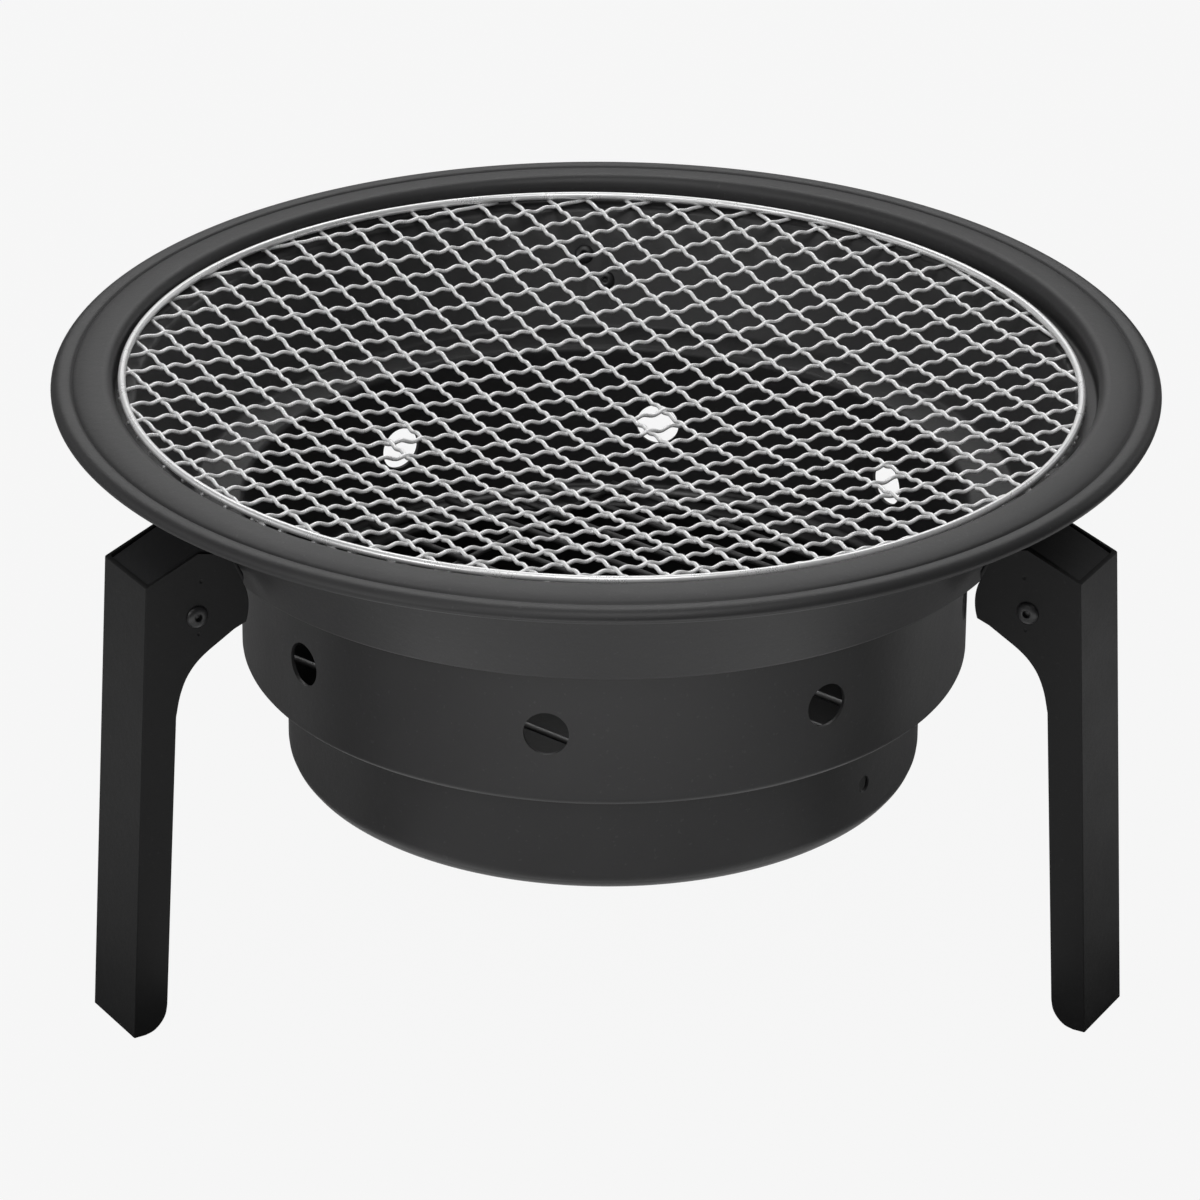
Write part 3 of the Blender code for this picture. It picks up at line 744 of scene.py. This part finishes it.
def bracket_mesh():
    n = cone_normal()
    z_hi, z_lo = -0.0153, -0.0308
    face = [(cone_outer(z) + n.x * GAP, z + n.y * GAP) for z in (z_hi, z_lo)]
    nose = (0.1710, -0.0268)
    outline = [nose, face[0], face[1], (0.1392, -0.0415)]
    outline += smooth_run([(0.1392, -0.0415), (0.1420, -0.0455), (0.1455, -0.0478),
                           (0.1490, -0.0496), (0.1530, -0.0522), (0.1562, -0.0530),
                           (0.1597, -0.0524), (0.1640, -0.0494), (0.1683, -0.0438),
                           (0.1708, -0.0370)], 3)[1:]
    half = BRACKET_WIDTH / 2
    ob = from_bm("bracket", prism(local(outline), -half, half), None)
    a0, b0 = local([nose])[0], local([face[0]])[0]
    c0 = local([face[1]])[0]

    def near(p, q):
        return abs(p.x - q[0]) < 1e-5 and abs(p.z - q[1]) < 1e-5

    def bends(a, b):
        if abs(a.y - b.y) > 1e-6:
            return False
        return ((near(a, a0) and near(b, b0)) or (near(a, b0) and near(b, a0))
                or (near(a, b0) and near(b, c0)) or (near(a, c0) and near(b, b0)))

    bend_weights(ob, bends, 0.0011, 4)
    top = (Vector(face[0]) - Vector(nose)).normalized()
    down = Vector((top.y, -top.x)) * SHEET
    if down.y > 0:
        down = -down
    a = Vector(nose) + down - top * 0.01
    back = Vector((n.x, n.y)) * SHEET
    p0, p1 = Vector(face[0]) + back, Vector(face[1]) + back
    slope = (p1 - p0).normalized()
    line = Vector(nose) + down
    det = top.x * slope.y - top.y * slope.x
    t = ((p0.x - line.x) * slope.y - (p0.y - line.y) * slope.x) / det
    hollow = [tuple(a), tuple(line + top * t), tuple(p1 + slope * 0.03), (0.150, -0.075),
              (0.185, -0.075), (0.185, a.y)]
    inner = half - SHEET
    tools = rod(0.05, RUNNING_R, 40, SIDE)
    shift = Matrix.Translation((-PIVOT_R, 0, -(RIM_Z + PIVOT_Z)))
    for side, z in PINS:
        join_into(tools, rod(0.010, PIN_SHANK + 0.0001, 24, shift @ pin_matrix(0, side, z)))
    settle(ob, [("DIFFERENCE", prism(local(hollow), -inner, inner)), ("DIFFERENCE", tools)],
           sharp=30.0, edge=0.00018, segments=2, limit=38.0)
    flat_normals(ob)
    mesh = ob.data
    bpy.data.objects.remove(ob, do_unlink=True)
    return mesh


def rivet_mesh(name, shank, head, inside, outside, eye):
    """Blind rivet: a low dome with the hole its mandrel left, and an upset tail."""
    rise = head * 0.33
    top = []
    for k in range(9):                     # dome from its edge up to the eye
        t = k / 8
        r = head + (eye * 1.25 - head) * t
        top.append((r, outside + 0.00012 + rise * math.sqrt(max(0.0, 1 - ((r - eye) / (head - eye + 1e-5)) ** 2)) ** 1.0))
    prof = [(0.0, inside - 0.0014), (shank * 0.7, inside - 0.00135), (shank * 1.15, inside - 0.0011),
            (shank * 1.3, inside - 0.0007), (shank * 1.28, inside - 0.00015), (shank * 1.15, inside),
            (shank, inside), (shank, outside), (head * 0.97, outside)] + top
    prof += [(eye, top[-1][1] - 0.00012), (eye * 0.94, outside + rise * 0.35),
             (eye * 0.90, outside - 0.0002), (eye * 0.55, outside - 0.00025),
             (eye * 0.45, outside + 0.0001), (0.0, outside + 0.00016)]
    ob = from_bm(name, lathe(prof, 40), 40.0)
    mesh = ob.data
    bpy.data.objects.remove(ob, do_unlink=True)
    return mesh


def placed(name, mesh, matrix):
    """A copy of the mesh with its place in its vertices, as the CAD nodes have."""
    copy = mesh.copy()
    copy.transform(matrix)
    return link(name, copy)


def build_legs():
    leg, bracket = leg_mesh(), bracket_mesh()
    outside = LEG_WIDTH / 2 + 0.00005
    inside = BRACKET_WIDTH / 2 - SHEET - 0.00005
    pivot = rivet_mesh("pivot", RIVET_SHANK, RIVET_HEAD, inside, outside, 0.00125)
    pin = rivet_mesh("pin", PIN_SHANK, PIN_HEAD, -(GAP + SHEET + 0.00005), SHEET + 0.00008,
                     0.00105)
    for tag, azimuth in LEGS.items():
        seat = (Matrix.Translation(polar(PIVOT_R, azimuth, RIM_Z + PIVOT_Z))
                @ Matrix.Rotation(math.radians(azimuth), 4, "Z"))
        dress(placed("channel_leg_" + tag, leg, seat), M_LEG, "leg_" + tag, "leg_paint",
              "leg_" + tag)
        dress(placed("hinge_bracket_" + tag, bracket, seat), M_BRACKET, "fire_bowl", "leg_paint",
              "bracket_" + tag)
        for hand, sign in (("left", -1), ("right", 1)):
            m = seat @ Matrix.Rotation(sign * -math.pi / 2, 4, "X")
            dress(placed("blind_rivet_%s_%s" % (tag, hand), pivot, m), M_RIVET, "fire_bowl",
                  "rivet_black", "pivot_rivet_%s_%s" % (tag, hand))
        for level, (side, z) in zip(("upper", "lower"), PINS):
            m = pin_matrix(azimuth, side, z) @ Matrix.Rotation(math.pi, 4, "X")
            dress(placed("bowl_rivet_%s_%s" % (tag, level), pin, m), M_RIVET, "fire_bowl",
                  "rivet_black", "bracket_rivet_%s_%s" % (tag, level))


build_bowl()
build_grate()
build_charcoal_grate()
build_legs()


# --------------------------------------------------------------------- stage
def stage_floor():
    mesh = bpy.data.meshes.new("studio_floor")
    s = 30.0
    mesh.from_pydata([(-s, -s, 0), (s, -s, 0), (s, s, 0), (-s, s, 0)], [], [(0, 1, 2, 3)])
    ob = link("studio_floor", mesh)
    g = Graph("floor_pale")
    g.bsdf.inputs["Base Color"].default_value = (0.38, 0.38, 0.38, 1)
    g.bsdf.inputs["Roughness"].default_value = 0.9
    g.bsdf.inputs["Specular IOR Level"].default_value = 0.0
    # an evenly lit sweep: bright to look at, but it bounces little light upwards
    glow = g.node("ShaderNodeEmission")
    glow.inputs["Color"].default_value = (1, 1, 1, 1)
    glow.inputs["Strength"].default_value = 0.945
    path = g.node("ShaderNodeLightPath")
    both = g.node("ShaderNodeMixShader")
    seen = g.math("MULTIPLY", path.outputs["Is Camera Ray"], 0.97)
    g.link(seen, both.inputs[0])
    g.link(g.bsdf.outputs["BSDF"], both.inputs[1])
    g.link(glow.outputs["Emission"], both.inputs[2])
    g.link(both.outputs["Shader"], g.tree.nodes["Material Output"].inputs["Surface"])
    mesh.materials.append(g.mat)


def area(name, place, aim, size, power, shape="RECTANGLE", size_y=None):
    light = bpy.data.lights.new(name, "AREA")
    light.shape = shape
    light.size = size
    if size_y:
        light.size_y = size_y
    light.energy = power
    ob = link(name, light)
    ob.location = place
    ob.rotation_euler = (Vector(aim) - Vector(place)).to_track_quat("-Z", "Y").to_euler()
    ob.visible_camera = False
    return ob


def panel(name, place, aim, wide, high, glow):
    """A soft panel whose own brightness is 'glow'."""
    return area(name, place, aim, wide, glow * math.pi * wide * high, size_y=high)


def world(strength):
    w = bpy.data.worlds.new("studio")
    bpy.context.scene.world = w
    w.use_nodes = True
    bg = w.node_tree.nodes["Background"]
    bg.inputs["Color"].default_value = (1, 1, 1, 1)
    bg.inputs["Strength"].default_value = strength


stage_floor()
world(0.02)
CENTRE = (0.0, 0.0, 0.1)
# soft panels round the table: name, place, wide, high, glow
for row in (("softbox_top", (0.0, 0.1, 2.0), 1.4, 1.4, 0.30),
            ("softbox_top_back", (0.0, 1.5, 1.7), 1.6, 1.0, 2.85),
            ("softbox_top_front", (0.0, -0.9, 2.0), 1.2, 0.8, 4.20),
            ("softbox_front", (0.0, -1.5, 1.5), 1.0, 0.7, 1.00),
            ("softbox_front_left", (-1.5, -1.5, 1.1), 1.0, 1.0, 3.50),
            ("softbox_left", (-2.1, 0.0, 0.8), 1.2, 1.0, 1.15),
            ("softbox_back", (0.0, 2.2, 0.8), 1.8, 0.9, 0.72),
            ("softbox_back_left", (-1.7, 1.4, 0.9), 1.2, 1.0, 0.47),
            ("softbox_back_right", (1.7, 1.4, 0.9), 1.2, 1.0, 0.86)):
    panel(row[0], row[1], CENTRE, *row[2:])
# light coming back up from the pale table
for row in (("bounce_front", (0.0, -0.42), 0.55, 0.30, 1.50),
            ("bounce_near", (0.0, -0.205), 0.50, 0.13, 0.30),
            ("bounce_near_left", (-0.25, -0.10), 0.12, 0.30, 0.14),
            ("bounce_near_right", (0.25, -0.10), 0.12, 0.30, 0.16),
            ("bounce_left", (-0.48, -0.10), 0.40, 0.50, 0.32),
            ("bounce_right", (0.48, -0.10), 0.40, 0.50, 0.60),
            ("bounce_under", (0.0, 0.0), 0.24, 0.24, 0.95),
            ("bounce_back", (0.0, 0.50), 0.80, 0.40, 0.80)):
    x, y = row[1]
    panel(row[0], (x, y, 0.004), (x, y, 1.0), *row[2:])


# -------------------------------------------------------------------- camera
def camera():
    tilt, reach, focal, roll, yaw = 0.453156, 2.200, 6852.82, 0.00872665, math.radians(-1.72)
    target = Vector((-0.001383, 0.0, RIM_Z - 0.078886))
    fwd = Vector((0, math.cos(tilt), -math.sin(tilt)))
    right, up = Vector((1, 0, 0)), Vector((0, math.sin(tilt), math.cos(tilt)))
    c, s = math.cos(roll), math.sin(roll)
    right, up = right * c + up * s, up * c - right * s
    spin = Matrix.Rotation(yaw, 3, "Z")
    place = spin @ (target - fwd * reach)
    right, up, fwd = spin @ right, spin @ up, spin @ fwd
    cam = bpy.data.cameras.new("camera")
    ob = link("camera", cam)
    m = Matrix((right, up, -fwd)).transposed().to_4x4()
    m.translation = place
    ob.matrix_world = m
    cam.sensor_fit = "HORIZONTAL"
    cam.sensor_width = 36.0
    cam.lens = focal * 36.0 / 1200.0
    cam.clip_start, cam.clip_end = 0.05, 100.0
    bpy.context.scene.camera = ob


camera()
bpy.context.scene.view_settings.view_transform = "Standard"

bpy.context.view_layer.update()
